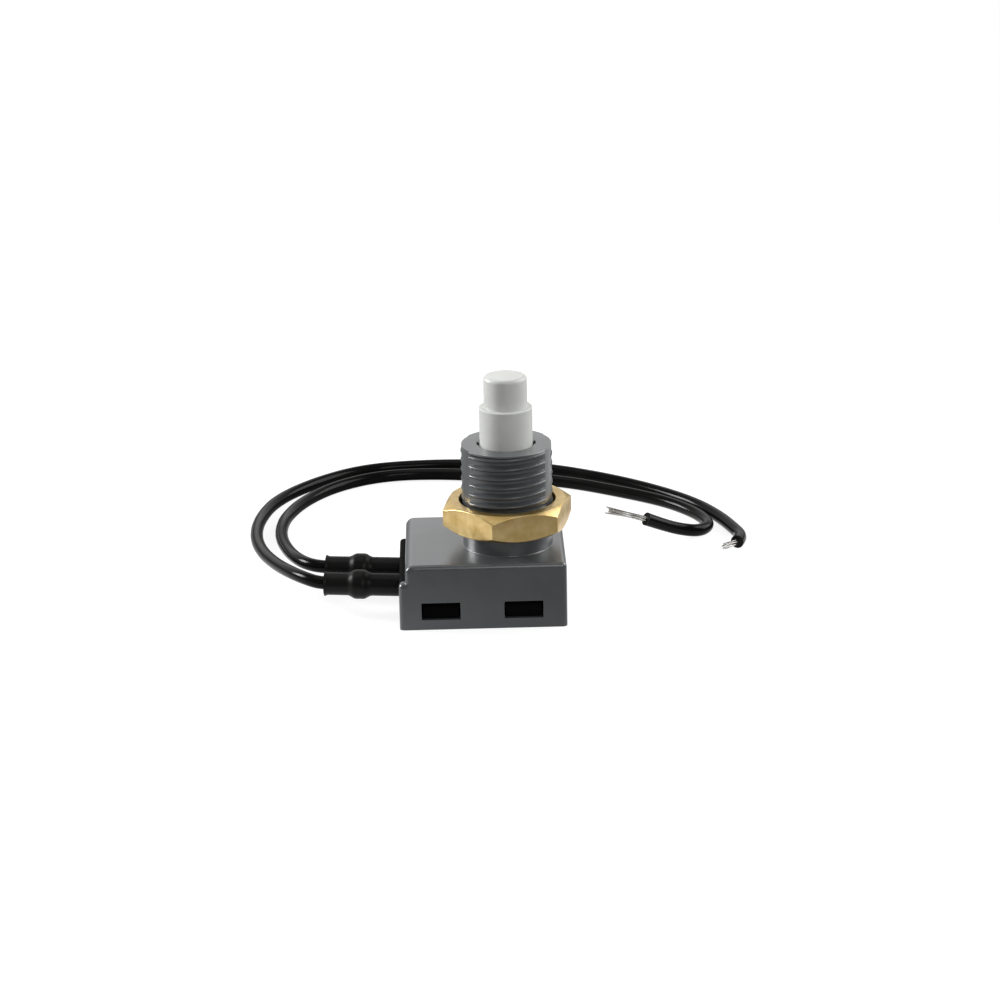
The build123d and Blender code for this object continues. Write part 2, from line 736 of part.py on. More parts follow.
def sleeve(name):
    """Shrunk sleeve: it swells over the splice and flares at its mouth."""
    plain = SLEEVE_DIA / 2
    bulge = SPLICE_DIA / 2 + WIRE_FIT + SLEEVE_BULGE_WALL
    pocket = SPLICE_DIA / 2 + WIRE_FIT
    pigtail_bore = PIGTAIL_DIA / 2 + WIRE_FIT
    lead_bore = LEAD_DIA / 2 + WIRE_FIT
    flare = SLEEVE_LENGTH - SLEEVE_FLARE_LENGTH
    outside = [
        (plain, -SLEEVE_INNER),
        (plain, SPLICE_START - SLEEVE_BLEND),
        (bulge, SPLICE_START + SPLICE_EDGE),
        (bulge, splice_end - SPLICE_EDGE),
        (plain, splice_end + SLEEVE_BLEND),
        (plain, flare),
        (plain + SLEEVE_FLARE, SLEEVE_LENGTH),
    ]
    inside = [
        (lead_bore + SLEEVE_FLARE, SLEEVE_LENGTH),
        (lead_bore, flare),
        (lead_bore, splice_end + SLEEVE_BLEND),
        (pocket, splice_end + WIRE_FIT),
        (pocket, SPLICE_START - WIRE_FIT),
        (pigtail_bore, SPLICE_START - WIRE_FIT),
        (pigtail_bore, -SLEEVE_INNER),
    ]
    section = make_face(Plane.XZ * Polyline(*outside, *inside, close=True))
    soft = [Vector(r, 0, z) for r, z in outside[1:5]]
    for point in soft:
        corner = section.vertices().sort_by_distance(point)[0]
        section = fillet(corner, SLEEVE_BULGE_RADIUS)
    return lead_frame(name) * revolve(section, Axis.Z)


def route(name):
    """All points of a lead, from inside its sleeve to its cut end."""
    start = Vector(left, lead_depth[name], lead_height)
    straight = [start + lead_direction * s for s in (LEAD_START, LEAD_BEND)]
    return straight + [Vector(*p) for p in lead_route[name]]


def bend_radii(points):
    """The largest arc that each corner's runs leave room for."""
    radii = []
    for a, b, c in zip(points, points[1:], points[2:]):
        half_turn = math.radians((b - a).get_angle(c - b)) / 2
        radii.append(RUN_SHARE * min((b - a).length, (c - b).length) / math.tan(half_turn))
    return radii


def stripped_bore(at, direction):
    """The blind hole for a conductor at the end of a lead."""
    bore = Cylinder(STRIPPED_DIA / 2 + WIRE_FIT, 2 * (STRIPPED_DEPTH + WIRE_FIT))
    return Plane(origin=at, z_dir=direction).location * bore


def lead(name):
    """Insulation of a lead along its route, hollow where the conductors enter."""
    points = route(name)
    radii = bend_radii(points)
    path = FilletPolyline(*points, radius=radii)
    tube = sweep(Plane(path @ 0, z_dir=path % 0) * Circle(LEAD_DIA / 2), path=path)
    expected = math.pi * (LEAD_DIA / 2) ** 2 * path.length
    print(name, "lead length", round(path.length, 2), "volume ratio", round(tube.volume / expected, 4))
    print(name, "bend radii", [round(r, 1) for r in radii])
    tube -= stripped_bore(points[0], lead_direction)
    return tube - stripped_bore(points[-1], points[-1] - points[-2])


def lead_tail(name):
    """The lead's inner stripped end, in the splice."""
    start = splice_middle + SPLICE_MIDDLE_GAP / 2
    return rod(name, start, LEAD_START + STRIPPED_DEPTH, STRIPPED_DIA)


def conductor(name):
    """The lead's outer stripped end."""
    points = route(name)
    out = (points[-1] - points[-2]).normalized()
    bends = [points[-1] - out * STRIPPED_DEPTH, points[-1] + out * END_STRAIGHT, Vector(*lead_tip[name])]
    path = FilletPolyline(*bends, radius=END_BEND_RADIUS)
    return sweep(Plane(path @ 0, z_dir=path % 0) * Circle(STRIPPED_DIA / 2), path=path)


nodes = {
    "housing": housing(),
    "mounting_nut": mounting_nut(),
    "plunger": plunger(),
    "index_rotor": index_rotor(),
    "contact_star": contact_star(),
    "return_spring": return_spring(),
    "base": base(),
}
for name in lead_depth:
    nodes["terminal_" + name] = terminal(name)
    nodes["contact_" + name] = fixed_contact(name)
    nodes["pigtail_" + name] = pigtail(name)
    nodes["pigtail_core_" + name] = pigtail_core(name)
    nodes["splice_" + name] = splice(name)
    nodes["sleeve_" + name] = sleeve(name)
    nodes["lead_" + name] = lead(name)
    nodes["lead_tail_" + name] = lead_tail(name)
    nodes["conductor_" + name] = conductor(name)

os.makedirs("parts", exist_ok=True)
for name, shape in nodes.items():
    export_step(shape.solid(), f"parts/{name}.step")
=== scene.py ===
"""Looks of the push-button switch: its leads and small pieces, its finishes and a plain studio."""

import json
import math
import random

import bpy
from mathutils import Matrix, Vector


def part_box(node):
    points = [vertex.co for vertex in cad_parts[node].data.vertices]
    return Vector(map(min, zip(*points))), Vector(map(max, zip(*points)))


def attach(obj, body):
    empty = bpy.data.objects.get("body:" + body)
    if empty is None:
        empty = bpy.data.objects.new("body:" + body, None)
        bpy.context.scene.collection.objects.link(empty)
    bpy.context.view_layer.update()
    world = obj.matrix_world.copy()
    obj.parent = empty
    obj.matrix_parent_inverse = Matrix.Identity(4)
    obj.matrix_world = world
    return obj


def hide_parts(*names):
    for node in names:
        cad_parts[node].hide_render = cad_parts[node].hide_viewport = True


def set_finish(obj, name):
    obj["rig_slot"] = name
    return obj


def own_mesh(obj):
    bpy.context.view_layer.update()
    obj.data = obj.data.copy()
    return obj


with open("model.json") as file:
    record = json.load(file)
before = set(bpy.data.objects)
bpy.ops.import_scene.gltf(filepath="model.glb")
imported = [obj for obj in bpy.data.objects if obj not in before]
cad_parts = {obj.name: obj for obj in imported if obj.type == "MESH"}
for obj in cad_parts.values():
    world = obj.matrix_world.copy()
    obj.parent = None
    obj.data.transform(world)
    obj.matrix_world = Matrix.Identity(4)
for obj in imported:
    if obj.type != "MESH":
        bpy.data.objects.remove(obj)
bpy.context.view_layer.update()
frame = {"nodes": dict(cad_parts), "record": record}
nodes = frame["nodes"]

# Lengths are in millimetres and angles in degrees, unless a comment says otherwise
MM = 0.001
SIDES = ("front", "rear")

# Camera
CAMERA_TARGET = Vector((-0.944, 0.0, 14.634))
CAMERA_DISTANCE = 380.0
CAMERA_AZIMUTH = -0.875
CAMERA_ELEVATION = 19.155
CAMERA_ROLL = 1.141
CAMERA_LENS = 104.433
CAMERA_SENSOR = 36.0
CAMERA_NEAR = 10.0

# Smooth splines of the leads and strands
SPLINE_ORDER = 3
SPLINE_STEPS = 12

# Leads: straight out of the end wall, then along their own routes
LEAD_DIA = 1.75
LEAD_HEIGHT = 4.0
LEAD_DEPTH = {"front": -2.35, "rear": 3.8}
LEAD_SPLAY = 7.0
LEAD_START = 7.5
LEAD_BEND = 10.4
LEAD_END_SWELL = 1.07
LEAD_SIDES = 8
on_table = LEAD_DIA / 2
LEAD_ROUTE = {
    "front": [
        (-27.0, 0.7, 4.15),
        (-29.1, 4.0, 3.85),
        (-31.2, 9.0, 3.1),
        (-33.5, 15.8, 2.4),
        (-34.9, 23.9, 1.7),
        (-34.95, 33.1, 1.0),
        (-33.0, 41.8, on_table),
        (-27.8, 49.2, on_table),
        (-20.8, 54.9, on_table),
        (-12.2, 56.48, on_table),
        (-2.3, 56.0, on_table),
        (6.7, 53.5, on_table),
        (14.8, 48.7, on_table),
        (21.9, 42.9, on_table),
        (27.6, 36.4, on_table),
        (30.7, 30.2, on_table),
        (32.2, 25.4, on_table),
        (33.19, 21.4, on_table),
        (32.2, 19.3, on_table * LEAD_END_SWELL),
    ],
    "rear": [
        (-26.9, 6.6, 3.95),
        (-28.5, 9.5, 3.75),
        (-29.8, 14.0, 3.2),
        (-31.0, 20.4, 2.4),
        (-31.5, 27.2, 1.6),
        (-31.1, 34.4, 0.95),
        (-28.8, 41.4, on_table),
        (-24.2, 48.0, on_table),
        (-17.2, 52.2, on_table),
        (-8.4, 52.3, on_table),
        (1.4, 49.9, on_table),
        (9.8, 47.1, on_table),
        (17.5, 42.0, on_table),
        (23.5, 37.4, on_table),
        (27.0, 32.8, on_table),
        (28.6, 29.2, on_table),
        (28.9, 26.3, on_table),
        (27.3, 24.2, on_table),
        (24.5, 23.8, 1.4),
        (22.0, 23.0, 2.45),
        (19.7, 21.9, 3.7),
    ],
}

# Stripped ends: tinned strands that leave the insulation, bend and splay; the twist is in radians
STRAND_TIP = {"front": (30.1, 17.9, 0.75), "rear": (14.2, 23.6, 4.6)}
STRAND_SEED = {"front": 5, "rear": 11}
STRAND_DIA = 0.2
STRAND_COUNT = 7
STRAND_RING = 0.3
STRAND_DEPTH = 1.4
STRAND_STRAIGHT = 0.7
STRAND_TWIST = 1.6
STRAND_SPLAY = 0.2
STRAND_SPLAY_POWER = 3
STRAND_SHORTEST = 0.95
STRAND_STATIONS = 9
STRAND_SIDES = 3

# Spring: its coil fills the CAD coil's box
SPRING_WIRE = 0.5
SPRING_SIDES = 14
SPRING_TURNS = 6
SPRING_STEPS = 28

# Copies of CAD meshes: points closer than this are one point
MERGE_GAP = 0.002

# Edges sharper than this stay sharp, on wound pieces and on moulded or turned ones
WOUND_SMOOTH = 50.0
PIECE_SMOOTH = 30.0

# Nut: faces that are flat to within an angle become one, then sharp edges are broken
NUT_FLAT = 0.3
NUT_EDGE = 0.13
NUT_EDGE_STEPS = 3
NUT_EDGE_ANGLE = 18.0

# The button's keys: their tops sit lower in their grooves than the CAD's
KEY_TOP = 22.3
KEY_TOP_PLAY = 0.05
KEY_INNER = 3.4
KEY_HALF_WIDTH = 0.6
KEY_DROP = 1.4

# Low ridges where the thread crosses the bushing's sides; each bows out and runs out at both ends
THREAD_PITCH = 1.27
SIDE_RIDGES = 8
SIDE_RIDGE_RADIUS = 0.34
SIDE_RIDGE_SIDES = 16
SIDE_RIDGE_STEPS = 16
SIDE_RIDGE_BOW = 4.0
SIDE_RIDGE_OUT = 1.65
SIDE_RIDGE_ARC = 72.0
SIDE_RIDGE_RISE = 0.18
SIDE_RIDGE_FOOT = {"right": 12.15, "left": 12.78}

# Surface play: scales of the noise per metre, its detail and roughness, the part of the cloud's range
# that is spread from 0 to 1, and the relief of the grain
CLOUD_SCALE = 250.0
CLOUD_NOISE = (3.0, 0.55)
CLOUD_RANGE = (0.3, 0.7)
GRAIN_SCALE = 5000.0
GRAIN_NOISE = (2.0, 0.6)
RELIEF_DEPTH = 0.02

# Finishes by the record's slot: two tones, the ends of the roughness, the relief's strength, and any
# other scales of the noise and values of the shader
FINISHES = {
    "body_plastic": dict(
        name="grey_moulding",
        dark=(0.070, 0.077, 0.083),
        light=(0.088, 0.094, 0.099),
        roughness=(0.28, 0.33),
        bump=0.02,
        Specular_IOR_Level=0.9,
    ),
    "base_plastic": dict(
        name="black_moulding",
        dark=(0.002, 0.002, 0.002),
        light=(0.005, 0.005, 0.005),
        roughness=(0.5, 0.65),
        bump=0.1,
        Specular_IOR_Level=0.03,
    ),
    "nut_brass": dict(
        name="brass",
        dark=(0.58, 0.395, 0.135),
        light=(0.82, 0.615, 0.29),
        roughness=(0.29, 0.37),
        bump=0.05,
        clouds=500.0,
        grain=3000.0,
        Metallic=0.9,
    ),
    "plunger_plastic": dict(
        name="pale_moulding",
        dark=(0.70, 0.71, 0.68),
        light=(0.76, 0.77, 0.74),
        roughness=(0.38, 0.48),
        bump=0.08,
    ),
    "rotor_plastic": dict(
        name="natural_moulding",
        dark=(0.66, 0.63, 0.54),
        light=(0.72, 0.69, 0.60),
        roughness=(0.4, 0.5),
        bump=0.08,
    ),
    "contact_sheet": dict(
        name="bronze_sheet",
        dark=(0.60, 0.33, 0.18),
        light=(0.70, 0.42, 0.25),
        roughness=(0.25, 0.4),
        bump=0.1,
        Metallic=1.0,
    ),
    "terminal_sheet": dict(
        name="brass_sheet",
        dark=(0.62, 0.47, 0.22),
        light=(0.72, 0.57, 0.30),
        roughness=(0.25, 0.4),
        bump=0.1,
        Metallic=1.0,
    ),
    "contact_silver": dict(
        name="silver",
        dark=(0.80, 0.80, 0.78),
        light=(0.90, 0.90, 0.88),
        roughness=(0.15, 0.3),
        bump=0.08,
        Metallic=1.0,
    ),
    "spring_wire": dict(
        name="drawn_steel",
        dark=(0.42, 0.42, 0.43),
        light=(0.52, 0.52, 0.53),
        roughness=(0.2, 0.35),
        bump=0.1,
        Metallic=1.0,
    ),
    "splice_metal": dict(
        name="tinned_barrel",
        dark=(0.55, 0.55, 0.53),
        light=(0.66, 0.66, 0.64),
        roughness=(0.3, 0.45),
        bump=0.1,
        Metallic=1.0,
    ),
    "tinned_copper": dict(
        name="tinned_strand",
        dark=(0.42, 0.41, 0.39),
        light=(0.60, 0.59, 0.57),
        roughness=(0.29, 0.4),
        bump=0.1,
        Metallic=1.0,
    ),
    "shrink_sleeve": dict(
        name="satin_sleeve",
        dark=(0.005, 0.005, 0.005),
        light=(0.010, 0.010, 0.009),
        roughness=(0.34, 0.46),
        bump=0.15,
        grain=2500.0,
        Specular_IOR_Level=0.15,
    ),
    "lead_insulation": dict(
        name="glossy_insulation",
        dark=(0.005, 0.005, 0.005),
        light=(0.009, 0.0085, 0.008),
        roughness=(0.13, 0.19),
        bump=0.02,
        grain=2500.0,
        Specular_IOR_Level=0.09,
    ),
}

# Polish of the moulding's top faces: its weight, and the heights between which it comes and goes
POLISH = 0.6
POLISH_ROUGHNESS = 0.3
POLISH_TO_ROOF = (8.1, 8.7)
POLISH_OFF_ROOF = (8.76, 8.85)
POLISH_TO_RIM = (22.2, 22.45)

# Lamps as name, place, width and power in watts; all face the switch
LAMPS = (
    ("left_softbox", (-320, 110, 160), 120, 1.38),
    ("right_softbox", (300, 90, 220), 260, 1.0),
    ("top_softbox", (-60, 60, 400), 260, 0.2),
    ("front_softbox", (80, -260, 200), 160, 0.27),
)
LAMP_TARGET = (0, 5, 14)

# Floor: its tone, the light that makes it read white, and where gloss shows it dimmer along its
# depth, which is turned
FLOOR_SIZE = 400.0
FLOOR_TONE = 0.25
FLOOR_LIFT = 0.88
FLOOR_TURN = -25.0
FLOOR_FRONT = (-20.0, 0.0)
FLOOR_FADE = (28.0, 46.0)

# Room: the light it gives, and its band in gloss between ends of depth and height on a unit sphere
ROOM_LIGHT = 0.1
ROOM_DEPTH = (-0.2, 0.9)
ROOM_EDGES = ((0.08, 0.2), (0.75, 0.5))
GLOSS_FRONT = 0.15
GLOSS_FAR = 0.1


def add_object(name, data):
    """A new object in the scene that holds this data."""
    piece = bpy.data.objects.new(name, data)
    bpy.context.scene.collection.objects.link(piece)
    return piece


def select_only(piece):
    """Makes a piece the active one and the only one selected."""
    bpy.ops.object.select_all(action="DESELECT")
    piece.select_set(True)
    bpy.context.view_layer.objects.active = piece


def make_camera():
    """The photograph's viewpoint."""
    azimuth, elevation = math.radians(CAMERA_AZIMUTH), math.radians(CAMERA_ELEVATION)
    roll = math.radians(CAMERA_ROLL)
    back = Vector((
        math.sin(azimuth) * math.cos(elevation),
        -math.cos(azimuth) * math.cos(elevation),
        math.sin(elevation),
    ))
    level = Vector((math.cos(azimuth), math.sin(azimuth), 0))
    upright = back.cross(level)
    right = level * math.cos(roll) - upright * math.sin(roll)
    up = level * math.sin(roll) + upright * math.cos(roll)
    data = bpy.data.cameras.new("camera")
    data.lens = CAMERA_LENS
    data.sensor_width = CAMERA_SENSOR
    data.clip_start = CAMERA_NEAR * MM
    camera = add_object("camera", data)
    turn = Matrix((right, up, back)).transposed().to_4x4()
    place = Matrix.Translation((CAMERA_TARGET + back * CAMERA_DISTANCE) * MM)
    camera.matrix_world = place @ turn
    bpy.context.scene.camera = camera


def smooth_curve(name, points):
    """A curve object with one smooth open spline, its control points in millimetres."""
    data = bpy.data.curves.new(name, "CURVE")
    data.dimensions = "3D"
    data.resolution_u = SPLINE_STEPS
    add_spline(data, points)
    return add_object(name, data)


def add_spline(data, points):
    """Adds a smooth open spline to a curve, its control points in millimetres."""
    spline = data.splines.new("NURBS")
    spline.points.add(len(points) - 1)
    for point, place in zip(spline.points, points):
        point.co = (*(Vector(place) * MM), 1)
    spline.order_u = SPLINE_ORDER
    spline.use_endpoint_u = True


def lead_points(side):
    """All control points of a lead, from inside its sleeve to its cut end."""
    wall = Vector((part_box("housing")[0].x / MM, LEAD_DEPTH[side], LEAD_HEIGHT))
    splay = math.radians(LEAD_SPLAY)
    out = Vector((-math.cos(splay), math.sin(splay), 0))
    return [wall + out * s for s in (LEAD_START, LEAD_BEND)] + [Vector(p) for p in LEAD_ROUTE[side]]


def make_lead(side):
    """Insulation along a lead's route, a little swollen where it was cut."""
    lead = smooth_curve("jacket_" + side, lead_points(side))
    lead.data.bevel_resolution = LEAD_SIDES
    lead.data.use_fill_caps = True
    # A bevel of one unit, so that each point's radius is the real one
    lead.data.bevel_depth = 1.0
    for point in lead.data.splines[0].points:
        point.radius = LEAD_DIA / 2 * MM
    lead.data.splines[0].points[-1].radius *= LEAD_END_SWELL
    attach(lead, "housing")
    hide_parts("lead_" + side)
    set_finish(lead, "lead_insulation")
    return lead


def line_points(points):
    """Points along the smooth line of these control points, in millimetres."""
    curve = smooth_curve("line", points)
    mesh = bpy.data.meshes.new_from_object(curve)
    line = [v.co / MM for v in mesh.vertices]
    bpy.data.meshes.remove(mesh)
    bpy.data.objects.remove(curve)
    return line


def line_frames(line):
    """At each point of a line, the point and two directions across it that don't turn about it."""
    ahead = (line[1] - line[0]).normalized()
    across = ahead.orthogonal().normalized()
    frames = []
    for i, point in enumerate(line):
        onward = (line[min(i + 1, len(line) - 1)] - line[max(i - 1, 0)]).normalized()
        across = ahead.rotation_difference(onward) @ across
        ahead = onward
        frames.append((point, across, ahead.cross(across)))
    return frames


def make_strands(side):
    """Twisted strands of a stripped end, each cut at its own length and splayed at its tip."""
    before, end = (Vector(p) for p in LEAD_ROUTE[side][-2:])
    out = (end - before).normalized()
    bends = [end - out * STRAND_DEPTH, end + out * STRAND_STRAIGHT, Vector(STRAND_TIP[side])]
    frames = line_frames(line_points(bends))
    draw = random.Random(STRAND_SEED[side])
    data = bpy.data.curves.new("strands_" + side, "CURVE")
    data.dimensions = "3D"
    data.bevel_depth = STRAND_DIA / 2 * MM
    data.bevel_resolution = STRAND_SIDES
    data.use_fill_caps = True
    for k in range(STRAND_COUNT):
        ring = STRAND_RING if k else 0
        start = math.tau * k / (STRAND_COUNT - 1)
        reach = draw.uniform(STRAND_SHORTEST, 1)
        splay = draw.uniform(0, STRAND_SPLAY)
        points = []
        for i in range(STRAND_STATIONS):
            share = i / (STRAND_STATIONS - 1) * reach
            point, across, upright = frames[round(share * (len(frames) - 1))]
            angle = start + STRAND_TWIST * share
            radius = ring + splay * share ** STRAND_SPLAY_POWER
            points.append(point + (across * math.cos(angle) + upright * math.sin(angle)) * radius)
        add_spline(data, points)
    select_only(add_object("strands_" + side, data))
    bpy.ops.object.convert(target="MESH")
    strands = bpy.context.object
    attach(strands, "housing")
    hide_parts("conductor_" + side)
    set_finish(strands, "tinned_copper")
    return strands


def add_section(name, sides, radius, place):
    """An upright circle at a place in metres, which is in its mesh, for a screw modifier to wind."""
    bpy.ops.object.select_all(action="DESELECT")
    bpy.ops.mesh.primitive_circle_add(
        vertices=sides,
        radius=radius,
        location=place,
        rotation=(math.pi / 2, 0, 0),
    )
    piece = bpy.context.object
    piece.name = piece.data.name = name
    bpy.ops.object.transform_apply(location=True, rotation=True, scale=True)
    return piece


def apply_modifiers(piece):
    """Makes a piece's modifiers part of its mesh."""
    select_only(piece)
    for modifier in list(piece.modifiers):
        bpy.ops.object.modifier_apply(modifier=modifier.name)


def close_ends(piece):
    """Fills a wound piece's open ends and turns its faces outwards."""
    select_only(piece)
    bpy.ops.object.mode_set(mode="EDIT")
    bpy.ops.mesh.select_all(action="SELECT")
    bpy.ops.mesh.fill_holes(sides=0)
    bpy.ops.mesh.select_all(action="SELECT")
    bpy.ops.mesh.normals_make_consistent(inside=False)
    bpy.ops.object.mode_set(mode="OBJECT")


def make_spring():
    """Round spring wire wound between the rotor and the plunger."""
    low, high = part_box("return_spring")
    wire = SPRING_WIRE * MM
    coil = (high.x - low.x - wire) / 2
    spring = add_section("spring_coil", SPRING_SIDES, wire / 2, (coil, 0, low.z + wire / 2))
    winding = spring.modifiers.new("winding", "SCREW")
    winding.axis = "Z"
    winding.iterations = SPRING_TURNS
    winding.screw_offset = (high.z - low.z - wire) / SPRING_TURNS
    winding.steps = winding.render_steps = SPRING_STEPS
    apply_modifiers(spring)
    close_ends(spring)
    bpy.ops.object.shade_smooth_by_angle(angle=math.radians(WOUND_SMOOTH))
    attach(spring, "housing")
    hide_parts("return_spring")
    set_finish(spring, "spring_wire")
    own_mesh(spring)
    return spring


def merged_copy(node, name):
    """A copy of a CAD node's mesh with its points merged, selected and active."""
    piece = nodes[node].copy()
    piece.data = nodes[node].data.copy()
    for key in list(piece.keys()):
        del piece[key]
    piece.parent = None
    piece.name = piece.data.name = name
    bpy.context.scene.collection.objects.link(piece)
    select_only(piece)
    bpy.ops.object.mode_set(mode="EDIT")
    bpy.ops.mesh.select_all(action="SELECT")
    bpy.ops.mesh.remove_doubles(threshold=MERGE_GAP * MM)
    bpy.ops.mesh.customdata_custom_splitnormals_clear()
    bpy.ops.object.mode_set(mode="OBJECT")
    return piece


def make_button():
    """The push button with its keys' tops down in their grooves."""
    button = merged_copy("plunger", "push_button")
    bpy.ops.object.mode_set(mode="EDIT")
    bpy.ops.mesh.select_all(action="DESELECT")
    bpy.ops.object.mode_set(mode="OBJECT")
    for vertex in button.data.vertices:
        place = vertex.co / MM
        on_key = math.hypot(place.x, place.y) > KEY_INNER and abs(place.y) < KEY_HALF_WIDTH
        vertex.select = on_key and abs(place.z - KEY_TOP) < KEY_TOP_PLAY
    bpy.ops.object.mode_set(mode="EDIT")
    bpy.ops.transform.translate(value=(0, 0, -KEY_DROP * MM))
    bpy.ops.object.mode_set(mode="OBJECT")
    bpy.ops.object.shade_smooth_by_angle(angle=math.radians(PIECE_SMOOTH))
    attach(button, "plunger")
    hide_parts("plunger")
    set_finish(button, "plunger_plastic")
    return button


def make_nut():
    """The hex nut with its sharp edges broken."""
    nut = merged_copy("mounting_nut", "hex_nut")
    bpy.ops.object.mode_set(mode="EDIT")
    bpy.ops.mesh.select_all(action="SELECT")
    bpy.ops.mesh.dissolve_limited(angle_limit=math.radians(NUT_FLAT))
    bpy.ops.object.mode_set(mode="OBJECT")
    bevel = nut.modifiers.new("broken_edges", "BEVEL")
    bevel.width = NUT_EDGE * MM
    bevel.segments = NUT_EDGE_STEPS
    bevel.limit_method = "ANGLE"
    bevel.angle_limit = math.radians(NUT_EDGE_ANGLE)
    apply_modifiers(nut)
    bpy.ops.object.shade_smooth_by_angle(angle=math.radians(PIECE_SMOOTH))
    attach(nut, "nut")
    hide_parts("mounting_nut")
    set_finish(nut, "nut_brass")
    return nut


def make_side_ridges(side):
    """Low thread ridges on one side of the bushing, each climbing along the thread."""
    turn = 0 if side == "right" else math.pi
    ridges = add_section(
        "side_thread_" + side,
        SIDE_RIDGE_SIDES,
        SIDE_RIDGE_RADIUS * MM,
        (SIDE_RIDGE_BOW * MM, 0, 0),
    )
    climb = ridges.modifiers.new("climb", "SCREW")
    climb.axis = "Z"
    climb.angle = math.radians(SIDE_RIDGE_ARC)
    climb.screw_offset = SIDE_RIDGE_RISE * MM
    climb.steps = climb.render_steps = SIDE_RIDGE_STEPS
    stack = ridges.modifiers.new("stack", "ARRAY")
    stack.count = SIDE_RIDGES
    stack.use_relative_offset = False
    stack.use_constant_offset = True
    stack.constant_offset_displace = (0, 0, THREAD_PITCH * MM)
    apply_modifiers(ridges)
    close_ends(ridges)
    ridges.rotation_euler.z = turn - math.radians(SIDE_RIDGE_ARC) / 2
    ridges.location.x = SIDE_RIDGE_OUT * math.cos(turn) * MM
    ridges.location.z = (SIDE_RIDGE_FOOT[side] - SIDE_RIDGE_RISE / 2) * MM
    bpy.ops.object.transform_apply(location=True, rotation=True, scale=True)
    bpy.ops.object.shade_smooth_by_angle(angle=math.radians(WOUND_SMOOTH))
    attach(ridges, "housing")
    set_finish(ridges, "body_plastic")
    return ridges


def feed(tree, value, socket):
    """Gives a socket its value: another node's output or a number."""
    if isinstance(value, bpy.types.NodeSocket):
        tree.links.new(value, socket)
    else:
        socket.default_value = value


def add_math(tree, operation, first, second):
    """The result of a math operation on two values."""
    node = tree.nodes.new("ShaderNodeMath")
    node.operation = operation
    feed(tree, first, node.inputs[0])
    feed(tree, second, node.inputs[1])
    return node.outputs["Value"]


def add_ramp(tree, value, ends, levels=(0.0, 1.0)):
    """A value that goes from one level to another between two ends, and is level outside them."""
    node = tree.nodes.new("ShaderNodeMapRange")
    feed(tree, value, node.inputs["Value"])
    node.inputs["From Min"].default_value, node.inputs["From Max"].default_value = ends
    node.inputs["To Min"].default_value, node.inputs["To Max"].default_value = levels
    return node.outputs["Result"]


def add_blend(tree, factor, first, second):
    """The first value where the factor is 0 and the second where it is 1."""
    node = tree.nodes.new("ShaderNodeMix")
    for name, value in (("Factor", factor), ("A", first), ("B", second)):
        feed(tree, value, node.inputs[name])
    return node.outputs["Result"]


def add_place(tree, kind, turn=0.0):
    """The X, Y and Z of one kind of coordinates, turned about Z."""
    place = tree.nodes.new("ShaderNodeTexCoord")
    turned = tree.nodes.new("ShaderNodeMapping")
    turned.inputs["Rotation"].default_value = (0, 0, math.radians(turn))
    split = tree.nodes.new("ShaderNodeSeparateXYZ")
    tree.links.new(place.outputs[kind], turned.inputs["Vector"])
    tree.links.new(turned.outputs["Vector"], split.inputs["Vector"])
    return split.outputs


def make_surface_play():
    """Shader group: soft clouds and fine grain over a surface, each from 0 to 1."""
    group = bpy.data.node_groups.new("surface_play", "ShaderNodeTree")
    for name, value in (("Cloud Scale", CLOUD_SCALE), ("Grain Scale", GRAIN_SCALE)):
        socket = group.interface.new_socket(name, in_out="INPUT", socket_type="NodeSocketFloat")
        socket.default_value = value
    for name in ("Cloud", "Grain"):
        group.interface.new_socket(name, in_out="OUTPUT", socket_type="NodeSocketFloat")
    source = group.nodes.new("NodeGroupInput")
    place = group.nodes.new("ShaderNodeTexCoord")
    result = group.nodes.new("NodeGroupOutput")
    noise = {}
    for name, (detail, roughness) in (("Cloud", CLOUD_NOISE), ("Grain", GRAIN_NOISE)):
        texture = group.nodes.new("ShaderNodeTexNoise")
        texture.inputs["Detail"].default_value = detail
        texture.inputs["Roughness"].default_value = roughness
        group.links.new(place.outputs["Object"], texture.inputs["Vector"])
        group.links.new(source.outputs[name + " Scale"], texture.inputs["Scale"])
        noise[name] = texture.outputs["Fac"]
    group.links.new(add_ramp(group, noise["Cloud"], CLOUD_RANGE), result.inputs["Cloud"])
    group.links.new(noise["Grain"], result.inputs["Grain"])
    return group


def make_finish(
    play, name, dark, light, roughness, bump, clouds=CLOUD_SCALE, grain=GRAIN_SCALE, **sockets
):
    """A material whose colour drifts between two tones and whose grain changes gloss and relief."""
    material = bpy.data.materials.new(name)
    material.use_nodes = True
    tree = material.node_tree
    shader = tree.nodes["Principled BSDF"]
    for socket, value in sockets.items():
        shader.inputs[socket.replace("_", " ")].default_value = value
    surface = tree.nodes.new("ShaderNodeGroup")
    surface.node_tree = play
    surface.inputs["Cloud Scale"].default_value = clouds
    surface.inputs["Grain Scale"].default_value = grain
    tones = tree.nodes.new("ShaderNodeMix")
    tones.data_type = "RGBA"
    for socket, tone in (("A", dark), ("B", light)):
        colour = [s for s in tones.inputs if s.name == socket and s.type == "RGBA"][0]
        colour.default_value = (*tone, 1)
    mixed = [s for s in tones.outputs if s.type == "RGBA"][0]
    relief = tree.nodes.new("ShaderNodeBump")
    relief.inputs["Strength"].default_value = bump
    relief.inputs["Distance"].default_value = RELIEF_DEPTH * MM
    gloss = add_ramp(tree, surface.outputs["Grain"], (0.0, 1.0), roughness)
    tree.links.new(surface.outputs["Cloud"], tones.inputs["Factor"])
    tree.links.new(surface.outputs["Grain"], relief.inputs["Height"])
    tree.links.new(mixed, shader.inputs["Base Color"])
    tree.links.new(gloss, shader.inputs["Roughness"])
    tree.links.new(relief.outputs["Normal"], shader.inputs["Normal"])
    return material


